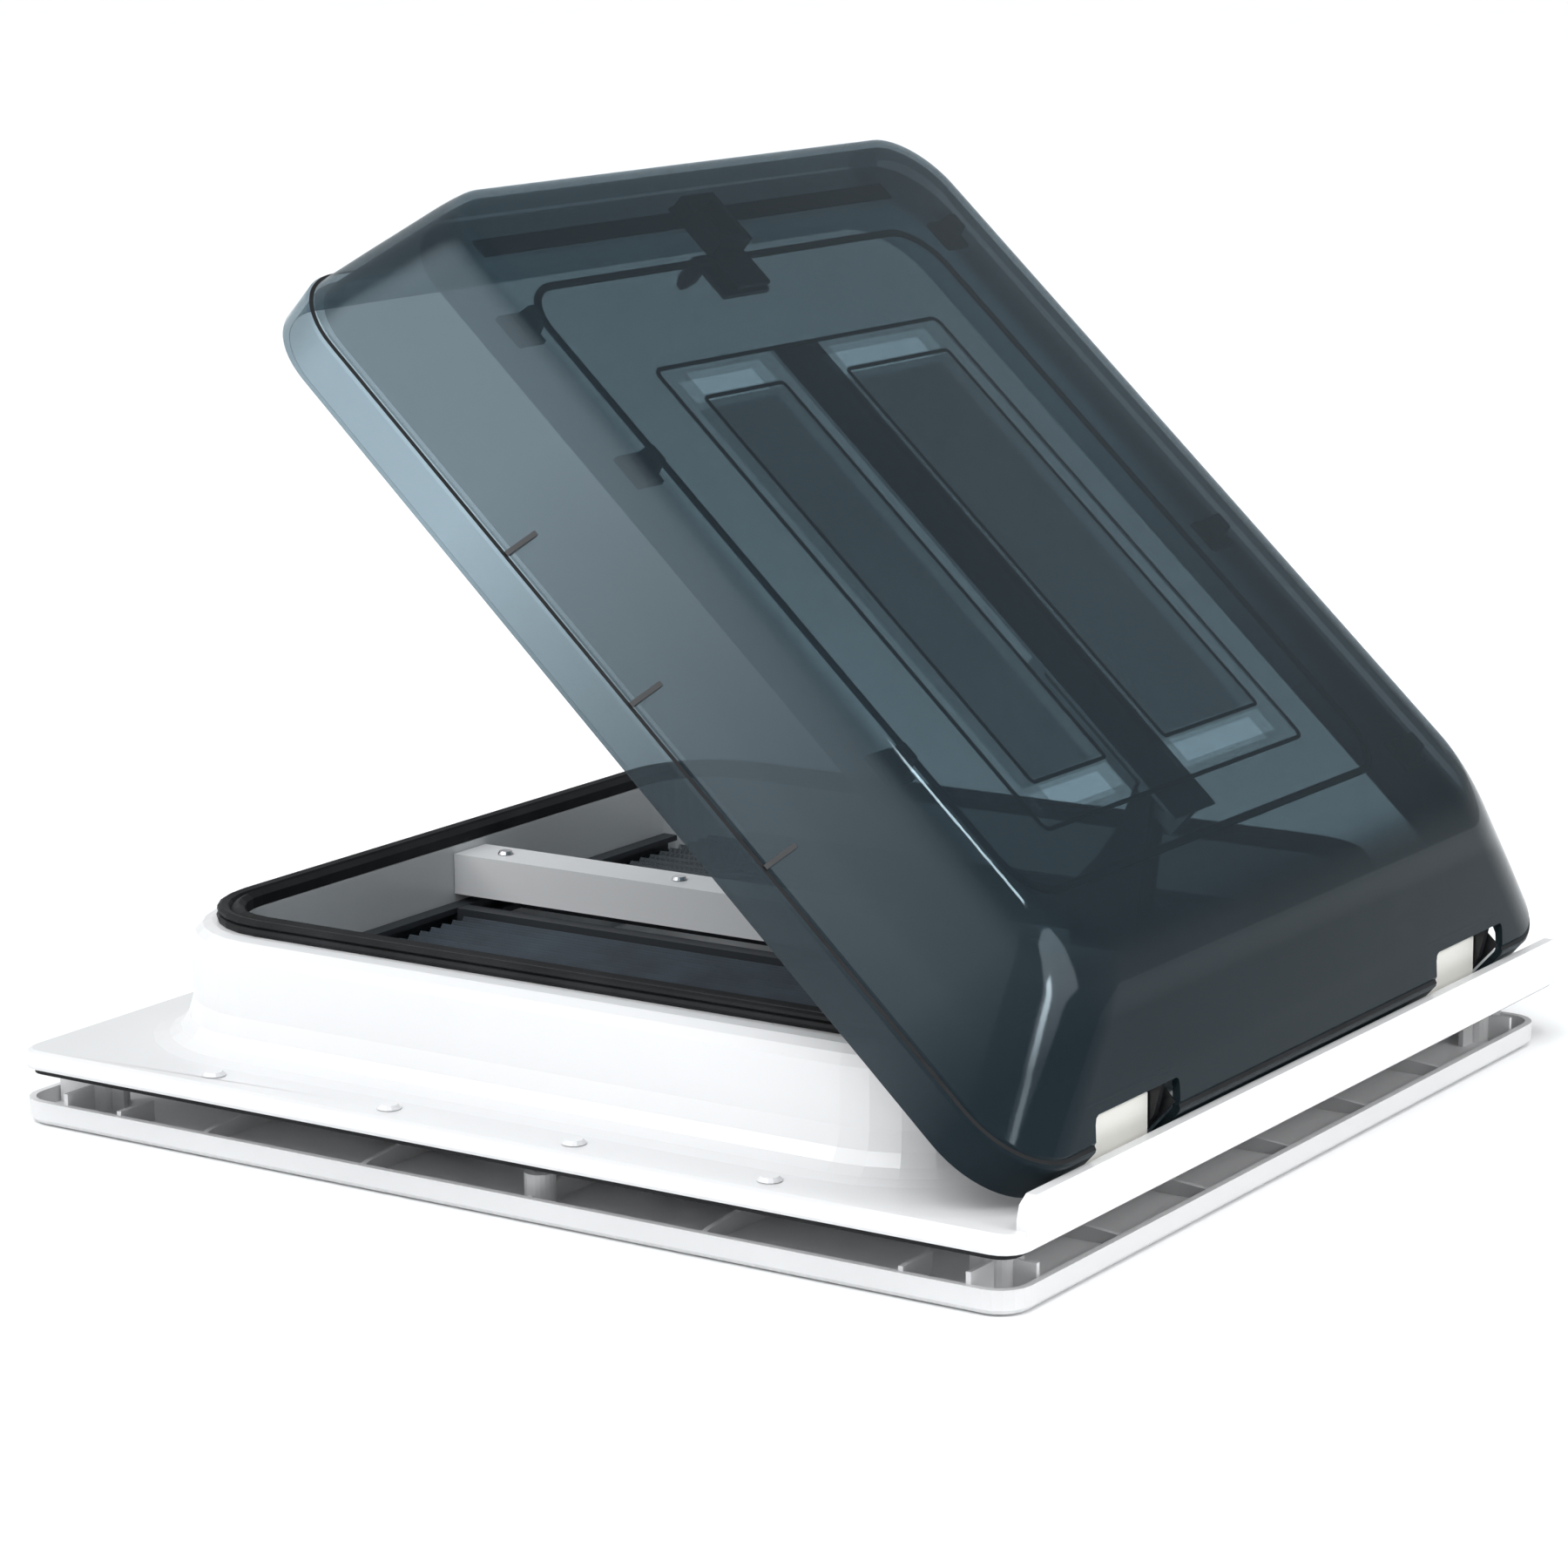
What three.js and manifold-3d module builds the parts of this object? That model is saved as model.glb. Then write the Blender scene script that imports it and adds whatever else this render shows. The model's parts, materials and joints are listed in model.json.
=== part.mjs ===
// Roof and deck hatch with a smoked double-skin lid, shown fully open.
// Units are millimetres. +Z is up, the lid hinges about Y at the +X side and its free
// edge is at -X. The origin is the centre of the footprint, on the surface that the
// ceiling trim stands on.
import * as THREE from 'three';
import { mergeVertices } from 'three/addons/utils/BufferGeometryUtils.js';
import Module from 'manifold-3d';

const wasm = await Module();
wasm.setup();

// ---------- driving dimensions ----------
const GAP = 0.3;                    // between pieces that touch
const OPENING_X = 196;              // half length of the rim seal's outer line
const OPENING_Y = 189.5;            // half width of the rim seal's outer line
const CORNER = 45;                  // corner radius of that line

const FLANGE = { x0: -242.5, x1: 253.5, y: 242.5, corner: 12, bottom: 28, top: 36, wall: 3 };
const UPSTAND = { wall: 11.5, inner: -12, top: 85.5, foot: 14, skin: 3 };
const DRIP_RAIL = { thickness: 4.5, top: 48.5 };
const SEAL = { width: 11.5, height: 6.5 };

const TRIM = { x0: -253.5, x1: 246.5, y: 231, corner: 14, rim: 10, floor: 3, collar: 22 };
const TRIM_RIB_PITCH = 85;

const HINGE = { x: 233.5, z: 48, y: 145, blockWidth: 52, pin: 2.5 };
const OPEN_ANGLE = 42.6;            // degrees that the lid stands open

const LID = { front: -223.5, rear: 243.5, y: 231.8, bottom: 44.2, skin: 3, corner: 36 };
const PAN = { front: -215.5, rear: 204.5, y: 190.5, bottom: 92.7, thickness: 2.5, corner: 33 };
const NOTCH = { halfWidth: 33, top: 74, inner: 212 };

const BAR = { halfLength: 183.7, halfWidth: 11.7, bottom: 63.5, top: 82.2, skin: 2.2 };
const PIVOT = { x: 158.5, z: 55 };  // operator arm's shaft
const ARM_LENGTH = 98;
const ARM_ANGLE = 9;                // degrees that the open arm leans past upright
const TRACK = { roller: 85, slot: 7.8, halfThickness: 2.5, x0: 45, x1: 140 };

const WHEEL = { teeth: 20, module: 1, y0: 12.5, y1: 18.5 };
const WORM = { pitchRadius: 4.8, root: 3.3, outer: 5.6, y: 15.5, z0: 46, z1: 64 };

const SCREEN = { bottom: 50, top: 60, pleat: 8, foot: 172, pull: 8 };
const NEAR_PULL_Y = -18;            // pull bar of the blackout blind, drawn shut
const FAR_PULL_Y = 30.5;             // pull bar of the insect screen, drawn shut

// ---------- materials ----------
function material(color, roughness, metalness = 0) {
  return new THREE.MeshStandardMaterial({ color, roughness, metalness });
}
const WHITE = () => material(0xf3f4f3, 0.28);
const TRIM_WHITE = () => material(0xeceded, 0.45);
const CREAM = () => material(0xefece4, 0.4);
const RUBBER = () => material(0x0c0d10, 0.7);
const SMOKED = () => material(0x3b474c, 0.08);
const INNER_SMOKED = () => material(0x586468, 0.12);
const BLACK = () => material(0x121316, 0.45);
const STEEL = () => material(0xb9bcc0, 0.3, 1);
const ALUMINIUM = () => material(0xaeb3b6, 0.35, 1);
const BRASS = () => material(0xb08d4a, 0.35, 1);
const GREY = () => material(0x9aa0a2, 0.5);
const CHARCOAL = () => material(0x2a2e33, 0.5);
const BLIND = () => material(0x343a41, 0.9);
const SCREEN_GREY = () => material(0x4a5157, 0.85);

// ---------- solids ----------
function toSolid(geometry) {
  const bare = geometry.clone();
  bare.deleteAttribute('normal');
  bare.deleteAttribute('uv');
  const merged = mergeVertices(bare, 1e-4);
  const corners = [];
  const index = merged.index.array;
  for (let i = 0; i < index.length; i += 3) {
    const [a, b, c] = [index[i], index[i + 1], index[i + 2]];
    if (a !== b && b !== c && c !== a) corners.push(a, b, c);
  }
  const points = merged.attributes.position;
  const vertProperties = new Float32Array(points.count * 3);
  for (let i = 0; i < points.count; i += 1) {
    vertProperties.set([points.getX(i), points.getY(i), points.getZ(i)], i * 3);
  }
  const mesh = new wasm.Mesh({ numProp: 3, vertProperties, triVerts: new Uint32Array(corners) });
  return new wasm.Manifold(mesh);
}

function toGeometry(solid) {
  const mesh = solid.getMesh();
  const geometry = new THREE.BufferGeometry();
  geometry.setAttribute('position', new THREE.BufferAttribute(new Float32Array(mesh.vertProperties), 3));
  geometry.setIndex(new THREE.BufferAttribute(new Uint32Array(mesh.triVerts), 1));
  geometry.computeVertexNormals();
  return geometry;
}

function box(x0, x1, y0, y1, z0, z1) {
  const geometry = new THREE.BoxGeometry(x1 - x0, y1 - y0, z1 - z0);
  geometry.translate((x0 + x1) / 2, (y0 + y1) / 2, (z0 + z1) / 2);
  return toSolid(geometry);
}

function cylinder(axis, radius, at, length, segments = 20, topRadius = radius) {
  const geometry = new THREE.CylinderGeometry(topRadius, radius, length, segments);
  if (axis === 'z') geometry.rotateX(Math.PI / 2);
  if (axis === 'x') geometry.rotateZ(-Math.PI / 2);
  geometry.translate(at[0], at[1], at[2]);
  return toSolid(geometry);
}

function outline(points) {
  const shape = new THREE.Shape();
  points.forEach(([a, b], i) => (i === 0 ? shape.moveTo(a, b) : shape.lineTo(a, b)));
  shape.closePath();
  return shape;
}

// A side profile given as [x, z] points, carried along Y.
function plateAlongY(points, y0, y1) {
  const geometry = new THREE.ExtrudeGeometry(outline(points), { depth: y1 - y0, bevelEnabled: false });
  geometry.rotateX(Math.PI / 2);
  geometry.translate(0, y1, 0);
  return toSolid(geometry);
}

// An end profile given as [y, z] points, carried along X.
function plateAlongX(points, x0, x1) {
  const geometry = new THREE.ExtrudeGeometry(outline(points), { depth: x1 - x0, bevelEnabled: false });
  geometry.rotateX(Math.PI / 2);
  geometry.rotateZ(Math.PI / 2);
  geometry.translate(x0, 0, 0);
  return toSolid(geometry);
}

// Rounded rectangles stacked into one body. Each row is {x0, x1, y0, y1, corner, z}. A LatheGeometry
// gives the rows and columns, and each column is then moved out to its rectangle's corner.
function rectangleLoft(rows, closed = false, cornerSteps = 5) {
  const columns = 4 * (cornerSteps + 1);
  const first = rows[0];
  const last = rows[rows.length - 1];
  const path = closed ? [...rows, first] : [{ ...first, axis: true }, ...rows, { ...last, axis: true }];
  const profile = path.map((row) => new THREE.Vector2(row.axis ? 0 : 1, row.z));
  const geometry = new THREE.LatheGeometry(profile, columns);
  const position = geometry.attributes.position;
  for (let column = 0; column <= columns; column += 1) {
    const wrapped = column % columns;
    const quadrant = Math.floor(wrapped / (cornerSteps + 1));
    const step = wrapped % (cornerSteps + 1);
    const angle = (quadrant + step / cornerSteps) * (Math.PI / 2);
    const right = quadrant === 0 || quadrant === 3;
    const far = quadrant === 0 || quadrant === 1;
    path.forEach((row, level) => {
      const x = row.axis
        ? (row.x0 + row.x1) / 2
        : (right ? row.x1 - row.corner : row.x0 + row.corner) + row.corner * Math.cos(angle);
      const y = row.axis
        ? (row.y0 + row.y1) / 2
        : (far ? row.y1 - row.corner : row.y0 + row.corner) + row.corner * Math.sin(angle);
      position.setXYZ(column * path.length + level, x, y, row.z);
    });
  }
  const solid = toSolid(geometry);
  if (solid.volume() > 0) return solid;
  const flipped = geometry.index.array;
  for (let i = 0; i < flipped.length; i += 3) {
    [flipped[i], flipped[i + 1]] = [flipped[i + 1], flipped[i]];
  }
  return toSolid(geometry);
}

function rectangleRow(x0, x1, halfY, corner, z) {
  return { x0, x1, y0: -halfY, y1: halfY, corner, z };
}

function roundedPlate(x0, x1, halfY, corner, z0, z1) {
  return rectangleLoft([rectangleRow(x0, x1, halfY, corner, z0), rectangleRow(x0, x1, halfY, corner, z1)]);
}

// A section carried round the opening: [offset outwards from the seal's outer line, z] points.
function ringRoundOpening(section) {
  const rows = section.map(([offset, z]) => (
    rectangleRow(-OPENING_X - offset, OPENING_X + offset, OPENING_Y + offset, CORNER + offset, z)));
  return rectangleLoft(rows, true, 7);
}

function joined(solids) {
  return solids.reduce((whole, piece) => whole.add(piece));
}

function cut(solid, tools) {
  return solid.subtract(joined(tools));
}

function mirroredY(solid) {
  return solid.mirror([0, 1, 0]);
}

// ---------- the assembly ----------
const hatch = new THREE.Group();

const lidHinge = new THREE.Group();
lidHinge.position.set(HINGE.x, 0, HINGE.z);
lidHinge.rotation.y = THREE.MathUtils.degToRad(OPEN_ANGLE);
const lid = new THREE.Group();
lid.position.set(-HINGE.x, 0, -HINGE.z);
lidHinge.add(lid);
hatch.add(lidHinge);

const arm = new THREE.Group();
arm.position.set(PIVOT.x, 0, PIVOT.z);
arm.rotation.y = THREE.MathUtils.degToRad(ARM_ANGLE);
hatch.add(arm);

function place(parent, name, solid, look) {
  const mesh = new THREE.Mesh(toGeometry(solid), look);
  mesh.name = name;
  parent.add(mesh);
}

// ---------- outer frame ----------
const MOUNT_HOLES = [
  [-226, -206], [17, -216], [226, -206],
  [-226, 206], [17, 216], [226, 206],
];
const CAP_X = [-142, -49, 44, 137];
const CAP_Y = 229;

function upstandSolid() {
  const { wall, inner, top, foot, skin } = UPSTAND;
  const section = [
    [wall + 18, FLANGE.top], [wall + 11, FLANGE.top + 1.2], [wall + 6, FLANGE.top + 4],
    [wall + 2.4, FLANGE.top + 9], [wall, FLANGE.top + 17],
    [wall, top - 8.5], [wall - 1.7, top - 4], [wall - 5, top - 1], [wall - 9, top],
    [inner, top], [inner, foot], [inner + skin, foot],
    [inner + skin, top - skin], [wall - 8.5, top - skin], [wall - 5, top - 4.8], [wall - skin, top - 9],
    [wall - skin, FLANGE.top + 16], [wall - 1, FLANGE.top + 8], [wall + 3, FLANGE.top + 2],
    [wall + 9, FLANGE.top - 2], [wall + 18, FLANGE.top - 3],
  ];
  return ringRoundOpening(section);
}

function flangeSolid() {
  const { x0, x1, y, corner, bottom, top, wall } = FLANGE;
  const outer = rectangleLoft([
    rectangleRow(x0 + 1, x1, y - 1, corner - 1, bottom),
    rectangleRow(x0, x1, y, corner, bottom + 1.5),
    rectangleRow(x0, x1, y, corner, top - 3),
    rectangleRow(x0 + 1, x1, y - 1, corner - 1, top - 1),
    rectangleRow(x0 + 3, x1, y - 3, corner - 3, top),
  ]);
  const under = roundedPlate(x0 + wall, x1 - wall, y - wall, corner - wall, bottom - 1, top - wall);
  const hole = roundedPlate(
    -OPENING_X - 26, OPENING_X + 26, OPENING_Y + 26, CORNER + 26, bottom - 1, top + 1);
  return cut(outer, [under, hole]);
}

function dripRailSolid() {
  const { x1, y, corner } = FLANGE;
  const { thickness, top } = DRIP_RAIL;
  const end = y - corner + 2;
  const foot = FLANGE.top - 2;
  const side = [
    [-end, foot], [end, foot], [end, top - 9], [end - 2, top - 3],
    [end - 7, top], [-end + 7, top], [-end + 2, top - 3], [-end, top - 9],
  ];
  return plateAlongX(side, x1 - thickness, x1);
}

function screwBosses(z0, z1, radius) {
  return joined(MOUNT_HOLES.map(([x, y]) => cylinder('z', radius, [x, y, (z0 + z1) / 2], z1 - z0)));
}

function screwHoles(z0, z1, radius) {
  return MOUNT_HOLES.map(([x, y]) => cylinder('z', radius, [x, y, (z0 + z1) / 2], z1 - z0, 16));
}

function outerFrame() {
  const wallX = OPENING_X + UPSTAND.inner;
  const sockets = [-1, 1].map((side) => {
    const reach = [side * (wallX - 10), side * (wallX + 2)].sort((a, b) => a - b);
    const inside = BAR.halfWidth - BAR.skin - GAP;
    return box(reach[0], reach[1], -inside, inside, BAR.bottom + 1, BAR.bottom + 9);
  });
  const fillet = box(OPENING_X + UPSTAND.wall + 3, FLANGE.x1 - 6, -180, 180, FLANGE.top, FLANGE.top + 20);
  const body = joined([flangeSolid(), upstandSolid().subtract(fillet), dripRailSolid(), ...sockets,
    screwBosses(25, FLANGE.top - 1, 5.5)]);
  const blindHoles = screwHoles(24, FLANGE.top - 2, 2.2);
  const capSeats = CAP_X.flatMap((x) => [-CAP_Y, CAP_Y].map((y) => (
    cylinder('z', 4.4, [x, y, FLANGE.top], 3, 14))));
  return cut(body, [...blindHoles, ...capSeats]);
}
place(hatch, 'outer_frame', outerFrame(), WHITE());

// Moulded plugs that cover the holes of the roof screws, along both long sides.
CAP_X.forEach((x, i) => {
  [['near', -CAP_Y], ['far', CAP_Y]].forEach(([side, y]) => {
    const head = cylinder('z', 5.2, [x, y, FLANGE.top + 1.1], 1.6, 14, 3.6);
    const stem = cylinder('z', 3.9, [x, y, FLANGE.top - 0.3], 1.6, 14);
    place(hatch, `cap_${side}_${i + 1}`, head.add(stem), WHITE());
  });
});

function rimSeal() {
  const base = UPSTAND.top + GAP;
  const { width, height } = SEAL;
  const section = [
    [0, base], [0.6, base + 1.6], [0, base + 3], [-0.9, base + 3.4], [0.3, base + 4.4], [0, base + height - 0.8],
    [-1.6, base + height], [-4.4, base + height - 0.6], [-5.6, base + height - 2.2],
    [-7, base + height - 0.8], [-9, base + height], [-width, base + height - 2],
    [-width, base],
  ];
  return ringRoundOpening(section);
}
place(hatch, 'rim_seal', rimSeal(), RUBBER());

function roofGasket() {
  const top = FLANGE.top - FLANGE.wall - GAP;
  const inset = FLANGE.wall + 0.8;
  const outer = roundedPlate(
    FLANGE.x0 + inset, FLANGE.x1 - inset, FLANGE.y - inset, FLANGE.corner - inset, 25.4, top);
  const inner = roundedPlate(
    FLANGE.x0 + inset + 6, FLANGE.x1 - inset - 6, FLANGE.y - inset - 6, 4, 20, top + 2);
  return outer.subtract(inner);
}
place(hatch, 'roof_gasket', roofGasket(), RUBBER());

// ---------- ceiling trim ----------
const COLLAR_X = OPENING_X + UPSTAND.inner - 1;
const COLLAR_Y = OPENING_Y + UPSTAND.inner - 1;
const COLLAR_CORNER = CORNER + UPSTAND.inner - 1;

function trimRibs() {
  const ribs = [];
  const flank = [[COLLAR_Y - 1, 1], [TRIM.y - 4, 1], [TRIM.y - 4, TRIM.rim - 2.5], [TRIM.y - 11, TRIM.rim - 1],
    [COLLAR_Y + 6, TRIM.rim + 2], [COLLAR_Y - 1, TRIM.rim + 3]];
  for (let i = -2; i <= 2; i += 1) {
    const x = 17 + i * TRIM_RIB_PITCH;
    if (Math.abs(x) < COLLAR_X - 20) {
      const rib = plateAlongX(flank, x - 1.2, x + 1.2);
      ribs.push(rib, mirroredY(rib));
    }
    const y = i * (TRIM_RIB_PITCH - 15);
    const rear = [[COLLAR_X - 1, 1], [TRIM.x1 - 4, 1], [TRIM.x1 - 4, TRIM.rim - 2.5],
      [COLLAR_X + 8, TRIM.rim + 2], [COLLAR_X - 1, TRIM.rim + 3]];
    const front = rear.map(([x1, z]) => [-x1 - (x1 > COLLAR_X + 20 ? 7 : 0), z]).reverse();
    ribs.push(plateAlongY(rear, y - 1.2, y + 1.2), plateAlongY(front, y - 1.2, y + 1.2));
  }
  return joined([...ribs, ...cornerWebs()]);
}

// Upright webs that stiffen the tray round each corner's screw boss.
function cornerWebs() {
  const top = TRIM.rim + 5;
  return [-1, 1].flatMap((side) => {
    const [a, b] = [side * 213, side * (TRIM.x1 - 4 + (side < 0 ? 7 : 0))].sort((p, q) => p - q);
    const across = box(a, b, -207.1, -204.9, 1, top);
    const along = box(side * 226 - 1.1, side * 226 + 1.1, -TRIM.y + 2, -190, 1, top);
    const brace = box(side * 196 - 1.1, side * 196 + 1.1, -TRIM.y + 2, -208, 1, TRIM.rim + 2);
    const corner = joined([across, along, brace]);
    return [corner, mirroredY(corner)];
  });
}

function innerFrame() {
  const { x0, x1, y, corner, rim, floor, collar } = TRIM;
  const tray = rectangleLoft([
    rectangleRow(x0 + 2, x1 - 2, y - 2, corner - 2, 0),
    rectangleRow(x0, x1, y, corner, 2),
    rectangleRow(x0, x1, y, corner, rim),
  ]);
  const hollow = roundedPlate(x0 + 3, x1 - 3, y - 3, corner - 3, floor, rim + 1);
  const wall = roundedPlate(-COLLAR_X, COLLAR_X, COLLAR_Y, COLLAR_CORNER, 1, collar);
  const opening = roundedPlate(-COLLAR_X + 3, COLLAR_X - 3, COLLAR_Y - 3, COLLAR_CORNER - 3, -1, collar + 1);
  const bosses = screwBosses(1, 17, 6.5);
  const body = joined([tray.subtract(hollow), trimRibs(), wall, bosses]);
  const heads = screwHoles(-1, 4, 4.6);
  return cut(body, [opening, ...screwHoles(-1, 19, 2.3), ...heads]);
}
place(hatch, 'inner_frame', innerFrame(), TRIM_WHITE());

MOUNT_HOLES.forEach(([x, y], i) => {
  const head = cylinder('z', 4.1, [x, y, 2.3], 2.8, 14);
  const shank = cylinder('z', 1.8, [x, y, 18], 29, 12);
  place(hatch, `frame_screw_${i + 1}`, head.add(shank), STEEL());
});

// ---------- hinges ----------
function hingeBlock() {
  const { x, z, y, blockWidth } = HINGE;
  const rear = x + 6.5;
  const front = x - 11;
  const bottom = FLANGE.top + GAP;
  const side = [[front, bottom], [rear, bottom], [rear, 59.5], [rear - 1.6, 61.6], [rear - 4.5, 62.4],
    [front + 5, 62.4], [front + 1.5, 61], [front, 58]];
  const body = plateAlongY(side, y - blockWidth / 2, y + blockWidth / 2);
  const bore = cylinder('y', HINGE.pin + 0.3, [x, y, z], blockWidth + 2, 24);
  return body.subtract(bore);
}

function hingePin() {
  return cylinder('y', HINGE.pin, [HINGE.x, HINGE.y, HINGE.z], HINGE.blockWidth + 12, 20);
}

function hingeBracket() {
  const { x, z, y, blockWidth } = HINGE;
  const about = (points) => points.map(([dx, dz]) => [x + dx, z + dz]);
  const ear = about([
    [-6.2, 0], [-4.4, -4.4], [0, -6.2], [4.4, -4.4], [6, 0], [4.6, 8], [-2, 20], [-7.4, 27],
    [-23.4, 41.5], [-25.9, 38.8], [-13, 24], [-6.5, 10],
  ]);
  const flange = about([[-7.4, 27], [-23.4, 41.5], [-25.9, 38.8], [-9.9, 24.3]]);
  const earOuter = blockWidth / 2 + 4.6;
  const earInner = blockWidth / 2 + 1;
  const ears = [-1, 1].map((side) => {
    const [a, b] = [side * earInner, side * earOuter].sort((p, q) => p - q);
    return plateAlongY(ear, y + a, y + b);
  });
  const bridge = plateAlongY(flange, y - earOuter, y + earOuter);
  const bore = cylinder('y', HINGE.pin + 0.3, [x, y, z], blockWidth + 14, 24);
  return joined([...ears, bridge]).subtract(bore);
}

[['far', (solid) => solid], ['near', mirroredY]].forEach(([side, turn]) => {
  place(hatch, `hinge_block_${side}`, turn(hingeBlock()), CREAM());
  place(hatch, `hinge_pin_${side}`, turn(hingePin()), STEEL());
  place(lid, `hinge_bracket_${side}`, turn(hingeBracket()), BLACK());
});

// ---------- lid ----------
// Sections of the outer skin from the lip up: [height above the lip, front, rear, half width, corner].
const LID_SECTIONS = [
  [0, 0, 0, 0, 0],
  [19.5, 0, 0, 0, 0],
  [21.5, 2.5, -2.5, -2.8, -2],
  [35, 3, -16, -17.3, -2],
  [50, 3.7, -31.5, -33.8, -2],
  [58, 4.2, -40.5, -42.6, -2.5],
  [63.5, 5, -49, -49, -3],
  [67, 6.5, -58, -54.5, -5],
  [68.6, 11, -70, -62, -9],
];

function lidBody(inset, drop, foot) {
  const rows = LID_SECTIONS.map(([height, front, rear, side, corner]) => rectangleRow(
    LID.front + front + inset, LID.rear + rear - inset, LID.y + side - inset,
    LID.corner + corner - inset, LID.bottom + Math.max(height - drop, 0)));
  rows[0].z = LID.bottom - foot;
  return rectangleLoft(rows, false, 6);
}

function outerSkin() {
  const shell = lidBody(0, 0, 0).subtract(lidBody(LID.skin, LID.skin * 0.6, 1));
  const notches = [-1, 1].map((side) => box(NOTCH.inner, LID.rear + 5,
    side * HINGE.y - NOTCH.halfWidth, side * HINGE.y + NOTCH.halfWidth, LID.bottom - 2, NOTCH.top));
  return cut(shell, notches);
}
place(lid, 'lid_outer_skin', outerSkin(), SMOKED());

// Flat inner skin that closes on the rim seal, with an embossed rectangle in two panels.
function innerSkin() {
  const top = PAN.bottom + PAN.thickness;
  const sheet = roundedPlate(PAN.front, PAN.rear, PAN.y, PAN.corner, PAN.bottom, top);
  const embossed = rectangleLoft([
    rectangleRow(-123, 125, 106, 4, top - 1),
    rectangleRow(-120, 122, 103, 3, top + 3),
  ]);
  const panels = [[-97, -38], [9, 91]].map(([y0, y1]) => rectangleLoft([
    { x0: -99, x1: 101, y0: y0 + 4, y1: y1 - 4, corner: 3, z: top },
    { x0: -105, x1: 107, y0, y1, corner: 3, z: top + 4 },
  ]));
  return cut(sheet.add(embossed), panels);
}
place(lid, 'lid_inner_skin', innerSkin(), INNER_SMOKED());

// Aluminium rail under the lid: the operator arm's pin runs in its slot.
function armTrack() {
  const top = PAN.bottom - GAP;
  const foot = box(-128, TRACK.x1, -17, 17, top - 1.6, top);
  const spine = box(-128, TRACK.x0, -TRACK.halfThickness, TRACK.halfThickness, top - 5, top - 1);
  const blade = box(TRACK.x0, TRACK.x1, -TRACK.halfThickness, TRACK.halfThickness, TRACK.roller - 8, top - 1);
  const half = TRACK.slot / 2;
  const ends = [TRACK.x0 + 11, TRACK.x1 - 11];
  const slot = box(ends[0], ends[1], -4, 4, TRACK.roller - half, TRACK.roller + half);
  const rounds = ends.map((x) => cylinder('y', half, [x, 0, TRACK.roller], 8, 20));
  return cut(joined([foot, spine, blade]), [slot, ...rounds]);
}
place(lid, 'arm_track', armTrack(), ALUMINIUM());

// Black clips that hold the inner skin to the outer skin.
function skinClip(x) {
  const top = PAN.bottom + PAN.thickness + GAP;
  const foot = box(x - 8, x + 8, 160, 176, top, top + 2.2);
  const post = plateAlongY([[x - 6, top + 2], [x + 6, top + 2], [x + 4, top + 11], [x - 4, top + 11]], 163, 168);
  return foot.add(post);
}
[-155, -78, 80].forEach((x, i) => {
  place(lid, `skin_clip_near_${i + 1}`, mirroredY(skinClip(x)), BLACK());
});
[-168, 20, 152].forEach((x, i) => {
  place(lid, `skin_clip_far_${i + 1}`, skinClip(x), BLACK());
});

// ---------- front centring lug ----------
// A fork under the lid's free edge drops over the end of the crossbar and centres the lid.
const LUG = { front: -181.5, rear: -158, halfWidth: 16.6, blade: 4, bottom: 77 };

function lidLug() {
  const top = PAN.bottom - GAP;
  const { front, rear, halfWidth, blade: thickness, bottom } = LUG;
  const blade = plateAlongY([[front, top], [front, bottom + 4], [front + 2, bottom], [front + 5, bottom],
    [front + 7, bottom + 6], [front + 7, top]], -halfWidth, -halfWidth + thickness);
  const foot = box(front, rear, -halfWidth, halfWidth, top - 2.4, top);
  return joined([blade, mirroredY(blade), foot]);
}
place(lid, 'lid_lug', lidLug(), BLACK());

// Its backing plate between the two skins, with the loop that stiffens the free edge.
function lugBacking() {
  const base = PAN.bottom + PAN.thickness + GAP;
  const halfWidth = 12;
  const plate = box(-206, LUG.rear, -halfWidth, halfWidth, base, base + 2);
  const loop = box(-205, -177, -halfWidth, halfWidth, base + 1, base + 9);
  const well = box(-201, -181, -halfWidth + 4, halfWidth - 4, base + 2, base + 10);
  return joined([plate, loop]).subtract(well);
}
place(lid, 'lug_backing', lugBacking(), BLACK());

// ---------- crossbar ----------
const BAR_SCREWS = [-163, -66];

function crossbar() {
  const { halfLength, halfWidth, bottom, top, skin } = BAR;
  const beam = box(-halfLength, halfLength, -halfWidth, halfWidth, bottom, top);
  const inside = halfWidth - skin;
  const channel = box(-halfLength - 1, halfLength + 1, -inside, inside, bottom - 1, top - skin);
  const slot = box(30, 172, -inside, inside, top - 5, top + 1);
  const screws = BAR_SCREWS.map((x) => cylinder('z', 2, [x, 0, top], 8, 16));
  return cut(beam, [channel, slot, ...screws]);
}
place(hatch, 'crossbar', crossbar(), WHITE());

BAR_SCREWS.forEach((x, i) => {
  const head = cylinder('z', 3.6, [x, 0, BAR.top + GAP + 0.7], 1.4, 18, 2.8);
  const shank = cylinder('z', 1.6, [x, 0, BAR.top - 3], 7.4, 12);
  place(hatch, `crossbar_screw_${i + 1}`, head.add(shank), STEEL());
});

// ---------- operator: gearbox, worm, wheel, arm ----------
const WORM_X = PIVOT.x - (WHEEL.teeth * WHEEL.module) / 2 - WORM.pitchRadius;
const BOX = { x0: WORM_X - 10.5, x1: PIVOT.x + 15, y0: -11.7, y1: 22, z0: 36, z1: 63.2, hump: 69 };

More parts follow.
